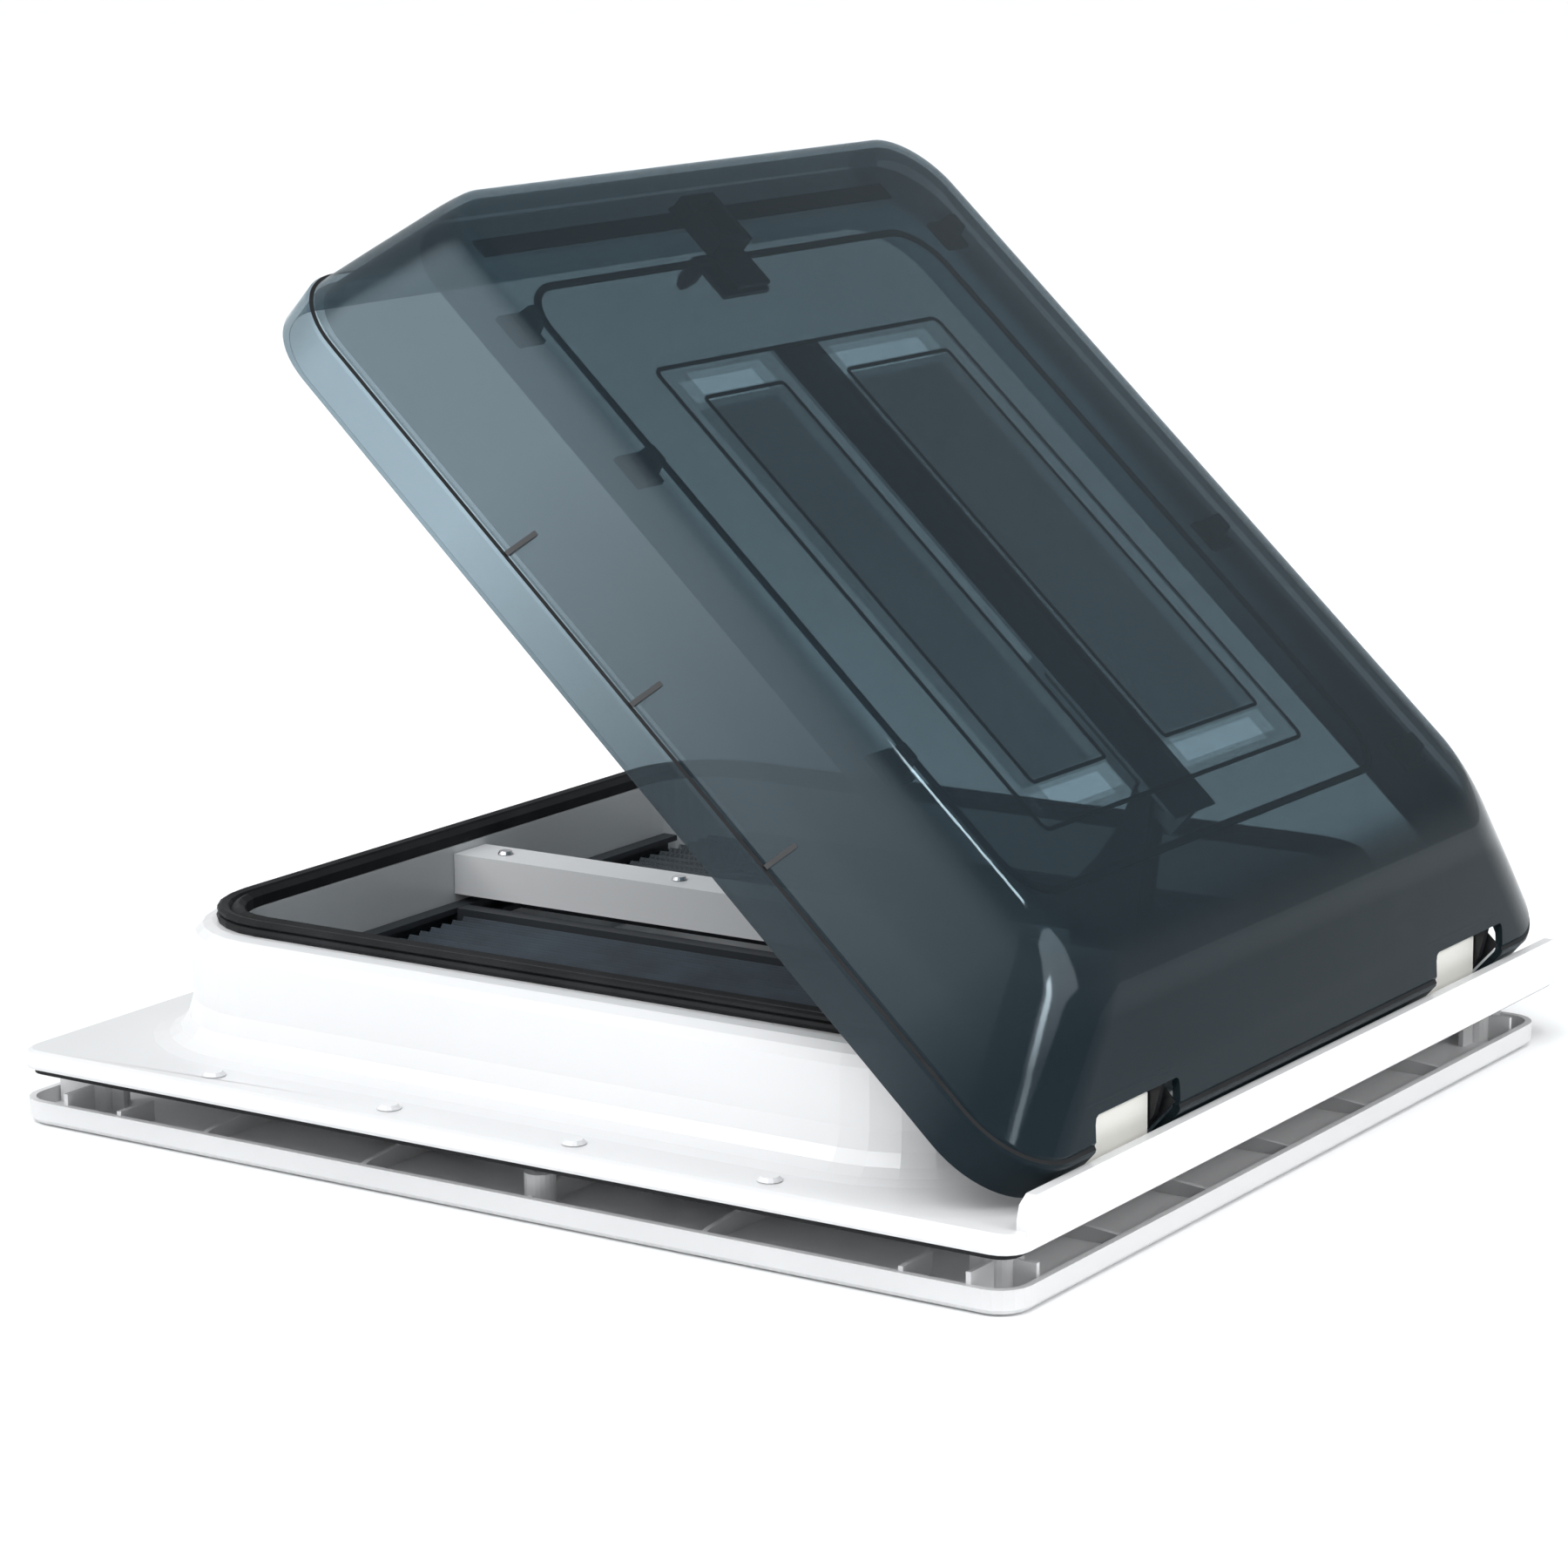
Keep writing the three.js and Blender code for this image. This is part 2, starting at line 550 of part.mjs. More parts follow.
function gearboxHousing() {
  const base = box(BOX.x0, BOX.x1, BOX.y0, BOX.y1, BOX.z0, BOX.z1);
  const hump = box(BOX.x0, BOX.x1, 12.1, BOX.y1, BOX.z1 - 1, BOX.hump);
  const armSlot = box(BOX.x0 - 1, BOX.x1 - 3, -7.4, 7.4, BOX.z0 - 1, BOX.z1 + 1);
  const wheelWell = cylinder('y', 12.5, [PIVOT.x, 17.3, PIVOT.z], 15, 32);
  const wormWell = box(WORM_X - 7.5, WORM_X + 7.5, 9.8, BOX.y1 + 1, WORM.z0 - 2, WORM.z1 + 1);
  const shaftBore = cylinder('y', 3.3, [PIVOT.x, 0, PIVOT.z], 60, 24);
  const wormBore = cylinder('z', 2.9, [WORM_X, WORM.y, 55], 60, 20);
  return cut(base.add(hump), [armSlot, wheelWell, wormWell, shaftBore, wormBore]);
}
place(hatch, 'gearbox_housing', gearboxHousing(), GREY());

function gearboxCover() {
  const plate = box(BOX.x0, BOX.x1, BOX.y1 + GAP, BOX.y1 + GAP + 2.2, BOX.z0, BOX.hump);
  const boss = cylinder('y', 6, [PIVOT.x, BOX.y1 + 1.8, PIVOT.z], 3, 20);
  const bore = cylinder('y', 3.3, [PIVOT.x, BOX.y1, PIVOT.z], 12, 24);
  return plate.add(boss).subtract(bore);
}
place(hatch, 'gearbox_cover', gearboxCover(), GREY());

// A space between two teeth faces the worm when the lid is fully open.
function wormWheel() {
  const { teeth, module: size, y0, y1 } = WHEEL;
  const pitch = (teeth * size) / 2;
  const root = pitch - 1.25 * size;
  const tip = pitch + 0.85 * size;
  const lean = THREE.MathUtils.degToRad(ARM_ANGLE);
  const points = [];
  for (let i = 0; i < teeth; i += 1) {
    const middle = ((i + 0.5) / teeth) * 2 * Math.PI + lean;
    [[root, -0.085], [tip, -0.038], [tip, 0.038], [root, 0.085]].forEach(([radius, turn]) => {
      points.push([radius * Math.cos(middle + turn), radius * Math.sin(middle + turn)]);
    });
  }
  const rim = plateAlongY(points, y0, y1);
  return rim.subtract(cylinder('y', 3.3, [0, (y0 + y1) / 2, 0], 10, 24));
}
place(arm, 'worm_wheel', wormWheel(), BRASS());

function armShaft() {
  return cylinder('y', 3, [0, 6.2, 0], 35.6, 20);
}
place(arm, 'arm_shaft', armShaft(), STEEL());

// The arm's web is wide in front and splits into a fork that straddles the lid's rail.
function operatorArm() {
  const side = [
    [-7.6, -7.6], [0, -10.8], [7.6, -7.6], [10.8, 0], [9, 18], [6, 44], [4.6, 88], [4, ARM_LENGTH + 1.6],
    [1.7, ARM_LENGTH + 4], [-1.7, ARM_LENGTH + 4], [-4, ARM_LENGTH + 1.6], [-8, 82],
    [-16, 65], [-25, 52], [-28, 42], [-24, 26], [-10.8, 2],
  ];
  const body = plateAlongY(side, -6.9, 6.9);
  const fork = box(-40, 20, -3.1, 3.1, 46, ARM_LENGTH + 10);
  const pinBore = cylinder('y', 2.65, [0, 0, ARM_LENGTH], 20, 20);
  const shaftBore = cylinder('y', 3.3, [0, 0, 0], 20, 24);
  return cut(body, [fork, pinBore, shaftBore]);
}
place(arm, 'operator_arm', operatorArm(), BLACK());
place(arm, 'fork_pin', cylinder('y', 2.4, [0, 0, ARM_LENGTH], 13.6, 18), STEEL());

// Right-hand thread: one lead per turn, a lead being the wheel's tooth pitch.
function wormShaft() {
  const lead = Math.PI * WHEEL.module;
  const steps = 10;
  const turns = Math.floor((WORM.z1 - WORM.z0 - 3) / lead);
  const start = PIVOT.z - (turns / 2) * lead;
  const solids = [];
  const reach = WORM.outer - WORM.root;
  for (let i = 0; i < turns * steps; i += 1) {
    const wedge = [];
    [i, i + 1.02].forEach((at) => {
      const angle = (at / steps - turns / 2) * 2 * Math.PI;
      const z = start + (at / steps) * lead;
      [[WORM.root - 0.5, 0.62], [WORM.root + reach, 0.3]].forEach(([radius, half]) => {
        [-half, half].forEach((dz) => {
          wedge.push([radius * Math.cos(angle), radius * Math.sin(angle), z + dz]);
        });
      });
    });
    solids.push(wasm.Manifold.hull(wedge));
  }
  const thread = wasm.Manifold.union(solids);
  const core = cylinder('z', WORM.root, [0, 0, (WORM.z0 + WORM.z1) / 2], WORM.z1 - WORM.z0, 24);
  const shaft = cylinder('z', 2.5, [0, 0, 39.5], 58, 20);
  return joined([core, shaft, thread]).translate([WORM_X, WORM.y, 0]);
}
place(hatch, 'worm_shaft', wormShaft(), STEEL());

function knob() {
  const grip = [];
  for (let i = 0; i < 48; i += 1) {
    const radius = i % 6 < 3 ? 11.5 : 10.4;
    const angle = (i / 48) * 2 * Math.PI;
    grip.push([radius * Math.cos(angle), radius * Math.sin(angle)]);
  }
  const geometry = new THREE.ExtrudeGeometry(outline(grip), { depth: 12, bevelEnabled: false });
  geometry.translate(WORM_X, WORM.y, 3);
  const stem = cylinder('z', 5, [WORM_X, WORM.y, 18], 8, 20);
  const bore = cylinder('z', 2.8, [WORM_X, WORM.y, 20], 20, 20);
  return toSolid(geometry).add(stem).subtract(bore);
}
place(hatch, 'operator_knob', knob(), GREY());

// ---------- blackout blind and insect screen ----------
function guideRail(x0, x1, y0, y1, openSide) {
  const { bottom, top } = SCREEN;
  const body = box(x0, x1, y0, y1, bottom, top);
  const groove = openSide > 0
    ? box(x0 + 2.4, x1 + 1, y0 - 1, y1 + 1, bottom + 2.6, top - 2.6)
    : box(x0 - 1, x1 - 2.4, y0 - 1, y1 + 1, bottom + 2.6, top - 2.6);
  return body.subtract(groove);
}
place(hatch, 'guide_rail_front', guideRail(-182.8, -175, -152, 152, 1), CHARCOAL());
place(hatch, 'guide_rail_rear_near', guideRail(175, 182.8, -152, -14, -1), CHARCOAL());
place(hatch, 'guide_rail_rear_far', guideRail(175, 182.8, 27, 152, -1), CHARCOAL());

function pullBar(y) {
  const half = SCREEN.pull / 2;
  const body = box(-174.5, 174.5, y - half, y + half, SCREEN.bottom, SCREEN.top);
  const tongue = box(-179.8, 179.8, y - half + 1, y + half - 1, SCREEN.bottom + 3, SCREEN.top - 3);
  const grip = box(-20, 20, y - 2.5, y + 2.5, SCREEN.bottom - 7, SCREEN.bottom + 1);
  return joined([body, tongue, grip]);
}
place(hatch, 'blind_pull_bar', pullBar(NEAR_PULL_Y), CHARCOAL());
place(hatch, 'screen_pull_bar', pullBar(FAR_PULL_Y), CHARCOAL());

function endRail(side) {
  const y0 = side * SCREEN.foot;
  const y1 = side * (SCREEN.foot + 4.6);
  return box(-150, 150, Math.min(y0, y1), Math.max(y0, y1), SCREEN.bottom, SCREEN.top);
}
place(hatch, 'blind_end_rail', endRail(-1), CHARCOAL());
place(hatch, 'screen_end_rail', endRail(1), CHARCOAL());

// Pleated fabric as one folded sheet between its end rail and its pull bar.
function pleatedSheet(y0, y1, thickness) {
  const folds = 2 * Math.round((y1 - y0) / SCREEN.pleat);
  const upper = [];
  const lower = [];
  for (let i = 0; i <= folds; i += 1) {
    const y = y0 + ((y1 - y0) * i) / folds;
    const z = i % 2 === 0 ? SCREEN.bottom + 2 : SCREEN.top - 2;
    upper.push([y, z + thickness / 2]);
    lower.push([y, z - thickness / 2]);
  }
  return plateAlongX([...lower, ...upper.reverse()], -167.5, 167.5);
}
place(hatch, 'blind_fabric', pleatedSheet(-SCREEN.foot + GAP, NEAR_PULL_Y - SCREEN.pull / 2 - GAP, 1), BLIND());
place(hatch, 'screen_fabric', pleatedSheet(FAR_PULL_Y + SCREEN.pull / 2 + GAP, SCREEN.foot - GAP, 1), SCREEN_GREY());

export default hatch;
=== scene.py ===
"""Deck hatch: finished pieces, materials, light and camera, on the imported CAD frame."""

import json
import math

import bmesh
import bpy
from mathutils import Matrix, Vector


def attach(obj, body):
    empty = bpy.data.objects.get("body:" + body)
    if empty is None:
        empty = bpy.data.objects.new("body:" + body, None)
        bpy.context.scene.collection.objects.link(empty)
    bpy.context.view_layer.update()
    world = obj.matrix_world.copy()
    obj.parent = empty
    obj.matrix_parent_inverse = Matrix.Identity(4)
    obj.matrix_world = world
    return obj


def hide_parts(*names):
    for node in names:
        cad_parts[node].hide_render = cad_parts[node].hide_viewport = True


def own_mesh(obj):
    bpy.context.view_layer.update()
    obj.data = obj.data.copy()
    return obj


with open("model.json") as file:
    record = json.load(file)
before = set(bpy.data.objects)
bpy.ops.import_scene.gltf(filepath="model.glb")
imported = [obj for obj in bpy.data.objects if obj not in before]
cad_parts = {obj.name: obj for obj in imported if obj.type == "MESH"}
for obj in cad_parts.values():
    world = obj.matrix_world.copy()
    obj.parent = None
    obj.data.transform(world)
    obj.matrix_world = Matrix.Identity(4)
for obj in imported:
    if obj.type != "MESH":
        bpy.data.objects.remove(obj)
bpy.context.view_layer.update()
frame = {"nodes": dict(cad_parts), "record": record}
MM = 0.001

# ---------- the lid's place, from the CAD ----------
HINGE = Vector((0.2335, 0.0, 0.048))
OPEN_ANGLE = math.radians(42.6)
HINGE_Y = 0.145
LIP_Z = 44.2

# ---------- the camera, at the photograph's viewing angle ----------
CAMERA_PLACE = Vector((1.0854, -1.6198, 0.5559))
CAMERA_AZIMUTH = math.radians(34.05)
CAMERA_ELEVATION = math.radians(12.23)
CAMERA_ROLL = math.radians(-0.63)
CAMERA_LENS = 105.4


def lid_to_world():
    """Carries a point given with the lid shut to where it is with the lid open."""
    turn = Matrix.Rotation(OPEN_ANGLE, 4, "Y")
    return Matrix.Translation(HINGE) @ turn @ Matrix.Translation(-HINGE)


# ---------- node helpers ----------
class Nodes:
    """A short way to write a material's nodes. place is the point in the row frame at rest."""

    def __init__(self, name):
        self.material = bpy.data.materials.new(name)
        self.material.use_nodes = True
        self.tree = self.material.node_tree
        self.shader = self.tree.nodes["Principled BSDF"]
        self.output = self.tree.nodes["Material Output"]
        self.place = self.add("ShaderNodeTexCoord").outputs["Object"]

    def add(self, kind, **values):
        node = self.tree.nodes.new(kind)
        for key, value in values.items():
            setattr(node, key, value)
        return node

    def link(self, source, target):
        self.tree.links.new(source, target)

    def use_lid_place(self):
        """Turns place into the point as it is with the lid shut, and returns its X, Y and Z."""
        mapping = self.add("ShaderNodeMapping")
        mapping.inputs["Rotation"].default_value = (0, -OPEN_ANGLE, 0)
        mapping.inputs["Location"].default_value = lid_to_world().inverted().translation
        self.link(self.place, mapping.inputs["Vector"])
        self.place = mapping.outputs["Vector"]
        split = self.add("ShaderNodeSeparateXYZ")
        self.link(self.place, split.inputs["Vector"])
        return split.outputs["X"], split.outputs["Y"], split.outputs["Z"]

    def set(self, **values):
        for key, value in values.items():
            self.shader.inputs[key.replace("_", " ")].default_value = value

    def noise(self, scale, detail=3.0, stretch=(1, 1, 1)):
        mapping = self.add("ShaderNodeMapping")
        mapping.inputs["Scale"].default_value = stretch
        self.link(self.place, mapping.inputs["Vector"])
        texture = self.add("ShaderNodeTexNoise")
        texture.inputs["Scale"].default_value = scale
        texture.inputs["Detail"].default_value = detail
        self.link(mapping.outputs["Vector"], texture.inputs["Vector"])
        return texture.outputs["Fac"]

    def ramp(self, source, low, high, start=0.3, end=0.7):
        ramp = self.add("ShaderNodeValToRGB")
        ramp.color_ramp.elements[0].position = start
        ramp.color_ramp.elements[1].position = end
        ramp.color_ramp.elements[0].color = (*low, 1)
        ramp.color_ramp.elements[1].color = (*high, 1)
        self.link(source, ramp.inputs["Fac"])
        return ramp.outputs["Color"]

    def span(self, source, low, high, start=0.0, end=1.0):
        rescale = self.add("ShaderNodeMapRange")
        rescale.inputs["From Min"].default_value = start
        rescale.inputs["From Max"].default_value = end
        rescale.inputs["To Min"].default_value = low
        rescale.inputs["To Max"].default_value = high
        self.link(source, rescale.inputs["Value"])
        return rescale.outputs["Result"]

    def combine(self, operation, first, second):
        maths = self.add("ShaderNodeMath", operation=operation)
        for socket, value in zip(maths.inputs, (first, second)):
            if isinstance(value, (int, float)):
                socket.default_value = value
            else:
                self.link(value, socket)
        return maths.outputs["Value"]

    def between(self, source, low, high):
        above = self.combine("GREATER_THAN", source, low)
        below = self.combine("LESS_THAN", source, high)
        return self.combine("MULTIPLY", above, below)

    def bump(self, height, distance, strength=1.0):
        bump = self.add("ShaderNodeBump")
        bump.inputs["Strength"].default_value = strength
        bump.inputs["Distance"].default_value = distance
        self.link(height, bump.inputs["Height"])
        self.link(bump.outputs["Normal"], self.shader.inputs["Normal"])

    def colour(self, socket):
        self.link(socket, self.shader.inputs["Base Color"])

    def roughness(self, socket):
        self.link(socket, self.shader.inputs["Roughness"])

    def see_through(self, share, tint):
        """Lets a share of the light straight through, tinted."""
        window = self.add("ShaderNodeBsdfTransparent")
        window.inputs["Color"].default_value = (*tint, 1)
        mix = self.add("ShaderNodeMixShader")
        self.link(share, mix.inputs["Fac"])
        self.link(self.shader.outputs["BSDF"], mix.inputs[1])
        self.link(window.outputs["BSDF"], mix.inputs[2])
        self.link(mix.outputs["Shader"], self.output.inputs["Surface"])


def shade(colour, factor):
    return tuple(channel * factor for channel in colour)


# ---------- materials ----------
# Shares of light that one face of the outer skin lets straight through.
SKIRT_CLEAR = 0.72
SLOPE_CLEAR = 0.36
CROWN_CLEAR = 0.62

# Where the dome's look changes, in metres with the lid shut: along X from clear to dark on the walls,
# on the crown and in the gloss, as painted shade for the darker reflections towards the hinges, and along
# Z at the crease and where the crown begins.
CREASE_HEIGHT = 0.0648
WALLS_PAINTED_SHADE = (-0.1, 0.13)
CROWN_PAINTED_SHADE = (0.18, 0.205)
GLOSS_PAINTED_FADE = (0.165, 0.21)
CROWN_BEGINS = (0.1, 0.1115)

# The inner skin's embossed rectangle, in millimetres with the lid shut: its middle, half the length
# of its panels, where the nearly clear strips at their ends start and stop (a painted highlight for the
# light on the panels' end bevels), and each panel's two sides.
PANEL_MIDDLE = 1
PANEL_HALF_LENGTH = 104
STRIP = (107.5, 119.5)
PANEL_SIDES = ((-97, -38), (9, 91))


def moulded_plastic(name, colour, roughness, grain_depth=0.02 * MM, coat=0.0, dust=0.93):
    """Injection-moulded plastic: broad colour drift, fine grain, uneven gloss."""
    nodes = Nodes(name)
    nodes.colour(nodes.ramp(nodes.noise(9, 5), shade(colour, dust), colour, 0.3, 0.62))
    nodes.roughness(nodes.span(nodes.noise(26, 4), roughness - 0.06, roughness + 0.08))
    nodes.bump(nodes.noise(1500, 2), grain_depth)
    nodes.set(Coat_Weight=coat, Coat_Roughness=0.12)
    return nodes.material


def rubber(name):
    """Extruded black rubber with bloom and a dragged surface."""
    nodes = Nodes(name)
    nodes.colour(nodes.ramp(nodes.noise(34, 6), (0.0025, 0.0028, 0.0032), (0.009, 0.01, 0.012)))
    nodes.roughness(nodes.span(nodes.noise(60, 3), 0.5, 0.72))
    nodes.bump(nodes.noise(900, 4), 0.05 * MM)
    nodes.set(Specular_IOR_Level=0.25)
    return nodes.material


def turned_metal(name, colour, roughness, stretch=(1, 14, 1)):
    """Metal with fine machining lines."""
    nodes = Nodes(name)
    lines = nodes.noise(160, 3, stretch)
    nodes.colour(nodes.ramp(lines, shade(colour, 0.8), colour))
    nodes.roughness(nodes.span(lines, roughness - 0.08, roughness + 0.12))
    nodes.bump(lines, 0.02 * MM)
    nodes.set(Metallic=1.0)
    return nodes.material


def smoked_acrylic(name, colour, tint):
    """Polished smoked acrylic: gloss over a dark body that lets a tinted share of light pass.

    The skirt is the clearest, and both the clear share and the gloss fall off towards the hinges, as
    painted shade for the darker reflections there.
    These shares were set to look right, and say nothing about the thickness.
    """
    nodes = Nodes(name)
    x, _, z = nodes.use_lid_place()
    nodes.colour(nodes.ramp(nodes.noise(5, 3), shade(colour, 0.85), shade(colour, 1.15)))
    nodes.roughness(nodes.span(nodes.noise(11, 5), 0.05, 0.09))
    nodes.bump(nodes.noise(6, 2), 0.3 * MM, 0.35)
    nodes.set(IOR=1.5, Specular_Tint=(0.66, 0.8, 0.88, 1))
    # Painted shade: the gloss and the clear share fall off towards the hinges, for the darker reflections
    # there.
    gloss = nodes.span(x, 0.5, 0.06, *GLOSS_PAINTED_FADE)
    nodes.link(gloss, nodes.shader.inputs["Specular IOR Level"])
    on_skirt = nodes.combine("LESS_THAN", z, CREASE_HEIGHT)
    skirt = nodes.combine("MULTIPLY", on_skirt, SKIRT_CLEAR - SLOPE_CLEAR)
    walls = nodes.combine("MULTIPLY", nodes.combine("ADD", skirt, SLOPE_CLEAR),
                          nodes.span(x, 1, 0.2, *WALLS_PAINTED_SHADE))
    crown = nodes.combine("MULTIPLY", nodes.span(x, CROWN_CLEAR, CROWN_CLEAR * 0.2, *CROWN_PAINTED_SHADE),
                          nodes.span(z, 0, 1, *CROWN_BEGINS))
    share = nodes.combine("MAXIMUM", walls, crown)
    facing = nodes.add("ShaderNodeLayerWeight")
    facing.inputs["Blend"].default_value = 0.3
    share = nodes.combine("MULTIPLY", share, nodes.span(facing.outputs["Facing"], 1, 0.4))
    nodes.see_through(share, tint)
    return nodes.material


def in_panels(nodes, y, inset):
    """1 inside the two panels' sides, drawn in by an inset in millimetres, and 0 outside."""
    masks = [nodes.between(y, (low + inset) * MM, (high - inset) * MM) for low, high in PANEL_SIDES]
    return nodes.combine("ADD", *masks)


def acrylic_with_painted_strips(name, colour, clear, tint):
    """The inner skin's smoked acrylic, nearly clear in a strip at each end of its two panels: a painted
    highlight for the light the bevels at the panel ends catch.
    """
    nodes = Nodes(name)
    x, y, _ = nodes.use_lid_place()
    nodes.colour(nodes.ramp(nodes.noise(5, 3), shade(colour, 0.8), shade(colour, 1.2)))
    nodes.roughness(nodes.span(nodes.noise(11, 5), 0.12, 0.22))
    nodes.bump(nodes.noise(8, 2), 0.2 * MM, 0.4)
    from_middle = nodes.combine("ABSOLUTE", nodes.combine("SUBTRACT", x, PANEL_MIDDLE * MM), 0)
    # Painted highlight: nearly clear strips at the panel ends, for the light the bevels there catch.
    at_ends = nodes.between(from_middle, STRIP[0] * MM, STRIP[1] * MM)
    strips = nodes.combine("MULTIPLY", at_ends, in_panels(nodes, y, 3))
    along = nodes.between(from_middle, 0, PANEL_HALF_LENGTH * MM)
    panels = nodes.combine("MULTIPLY", along, in_panels(nodes, y, 1))
    strip_clear, panel_loss = 0.97, 0.26
    share = nodes.combine("ADD", nodes.combine("MULTIPLY", strips, strip_clear - clear), clear)
    share = nodes.combine("SUBTRACT", share, nodes.combine("MULTIPLY", panels, panel_loss))
    nodes.see_through(share, tint)
    return nodes.material


def pleated_cloth(name, colour, thread=0.5 * MM):
    """Woven blackout cloth: two crossing sets of threads and a little fuzz."""
    nodes = Nodes(name)
    threads = []
    for direction in ("X", "Z"):
        wave = nodes.add("ShaderNodeTexWave", bands_direction=direction)
        wave.inputs["Scale"].default_value = math.pi / (20 * thread)
        nodes.link(nodes.place, wave.inputs["Vector"])
        threads.append(wave.outputs["Fac"])
    weave = nodes.combine("MULTIPLY", threads[0], threads[1])
    mottle = nodes.noise(40, 5)
    nodes.colour(nodes.ramp(mottle, shade(colour, 0.75), shade(colour, 1.2)))
    nodes.bump(nodes.combine("ADD", weave, nodes.noise(1200, 2)), 0.08 * MM)
    nodes.set(Roughness=0.85, Sheen_Weight=0.15, Sheen_Roughness=0.5)
    return nodes.material


def insect_mesh(name, colour, pitch=1.4 * MM):
    """Fine knitted mesh: threads with gaps that let part of the light through."""
    nodes = Nodes(name)
    threads = []
    for direction in ("X", "Y"):
        wave = nodes.add("ShaderNodeTexWave", bands_direction=direction)
        wave.inputs["Scale"].default_value = math.pi / (20 * pitch)
        nodes.link(nodes.place, wave.inputs["Vector"])
        threads.append(wave.outputs["Fac"])
    net = nodes.combine("MAXIMUM", threads[0], threads[1])
    nodes.colour(nodes.ramp(nodes.noise(50, 4), shade(colour, 0.8), shade(colour, 1.15)))
    nodes.bump(net, 0.1 * MM)
    nodes.set(Roughness=0.8)
    nodes.see_through(nodes.span(net, 0.5, 0.1), (1, 1, 1))
    return nodes.material


LOOKS = {
    "frame_white": moulded_plastic("frame_white", (0.71, 0.71, 0.715), 0.3, coat=0.25, dust=0.975),
    "trim_white": moulded_plastic("trim_white", (0.67, 0.67, 0.675), 0.42, dust=0.95),
    "cream_plastic": moulded_plastic("cream_plastic", (0.9, 0.89, 0.84), 0.4, dust=0.95),
    "black_plastic": moulded_plastic("black_plastic", (0.008, 0.009, 0.011), 0.42, 0.05 * MM, dust=0.7),
    "charcoal_plastic": moulded_plastic("charcoal_plastic", (0.03, 0.034, 0.04), 0.5, dust=0.8),
    "grey_plastic": moulded_plastic("grey_plastic", (0.42, 0.46, 0.48), 0.48, 0.03 * MM, dust=0.88),
    "black_rubber": rubber("black_rubber"),
    "stainless": turned_metal("stainless", (0.6, 0.61, 0.63), 0.3),
    "aluminium_rail": turned_metal("aluminium_rail", (0.55, 0.57, 0.58), 0.38, (1, 20, 20)),
    "brass_gear": turned_metal("brass_gear", (0.62, 0.46, 0.2), 0.32),
    "smoked_acrylic": smoked_acrylic("smoked_acrylic", (0.009, 0.015, 0.019), (0.82, 0.93, 0.985)),
    "smoked_acrylic_inner": acrylic_with_painted_strips(
        "smoked_acrylic_inner", (0.022, 0.028, 0.031), 0.62, (0.87, 0.94, 0.96)),
    "blind_cloth": pleated_cloth("blind_cloth", (0.03, 0.042, 0.055)),
    "screen_cloth": insect_mesh("screen_cloth", (0.04, 0.05, 0.058)),
}


# ---------- CAD nodes that stay ----------
EDGE_ROUNDING = {
    "outer_frame": 0.7, "inner_frame": 0.6, "crossbar": 0.6, "hinge_block_near": 0.9,
    "hinge_block_far": 0.9, "gearbox_housing": 0.6, "gearbox_cover": 0.5, "operator_arm": 0.7,
    "operator_knob": 0.6, "blind_pull_bar": 0.6, "screen_pull_bar": 0.6,
    "hinge_bracket_near": 0.5, "hinge_bracket_far": 0.5, "arm_track": 0.3, "lid_lug": 0.5,
    "lug_backing": 0.5,
}


def soften(obj, width):
    """Merges flat faces, rounds the edges and smooths the shading of a CAD node."""
    flatten = obj.modifiers.new("flatten", "DECIMATE")
    flatten.decimate_type = "DISSOLVE"
    flatten.angle_limit = math.radians(0.5)
    rounding = obj.modifiers.new("rounding", "BEVEL")
    rounding.width = width * MM
    rounding.segments = 2
    rounding.limit_method = "ANGLE"
    rounding.angle_limit = math.radians(35)
    rounding.miter_outer = "MITER_ARC"
    obj.modifiers.new("normals", "WEIGHTED_NORMAL").keep_sharp = True


def smooth(mesh, angle=35):
    for polygon in mesh.polygons:
        polygon.use_smooth = True
    mesh.set_sharp_from_angle(angle=math.radians(angle))


def finish_cad_nodes():
    slots = {part["node"]: part["material_slot"] for part in frame["record"]["subparts"]}
    for name, obj in frame["nodes"].items():
        look = LOOKS[slots[name]]
        if obj.data.materials:
            for i in range(len(obj.data.materials)):
                obj.data.materials[i] = look
        else:
            obj.data.materials.append(look)
        smooth(obj.data)
        if name in EDGE_ROUNDING:
            soften(obj, EDGE_ROUNDING[name])


# ---------- pieces made here ----------
def link_mesh(name, mesh, slots, body):
    """Puts a finished mesh in the scene and on its CAD body. A lid's mesh is given with the lid shut."""
    obj = bpy.data.objects.new(name, mesh)
    bpy.context.collection.objects.link(obj)
    for slot in slots:
        mesh.materials.append(LOOKS[slot])
    if body == "lid":
        mesh.transform(lid_to_world())
    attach(obj, body)
    return obj


def rounded_rectangle(x0, x1, half_y, corner, z, steps=14):
    """Points of a rounded rectangle in metres, from millimetres, counter-clockwise from above."""
    points = []
    for quadrant, (x, y) in enumerate(((x1, half_y), (x0, half_y), (x0, -half_y), (x1, -half_y))):
        centre_x = x - math.copysign(corner, x - x0 - 1)
        centre_y = y - math.copysign(corner, y)
        for step in range(steps + 1):
            angle = (quadrant + step / steps) * math.pi / 2
            points.append(Vector((centre_x + corner * math.cos(angle),
                                  centre_y + corner * math.sin(angle), z)) * MM)
    return points


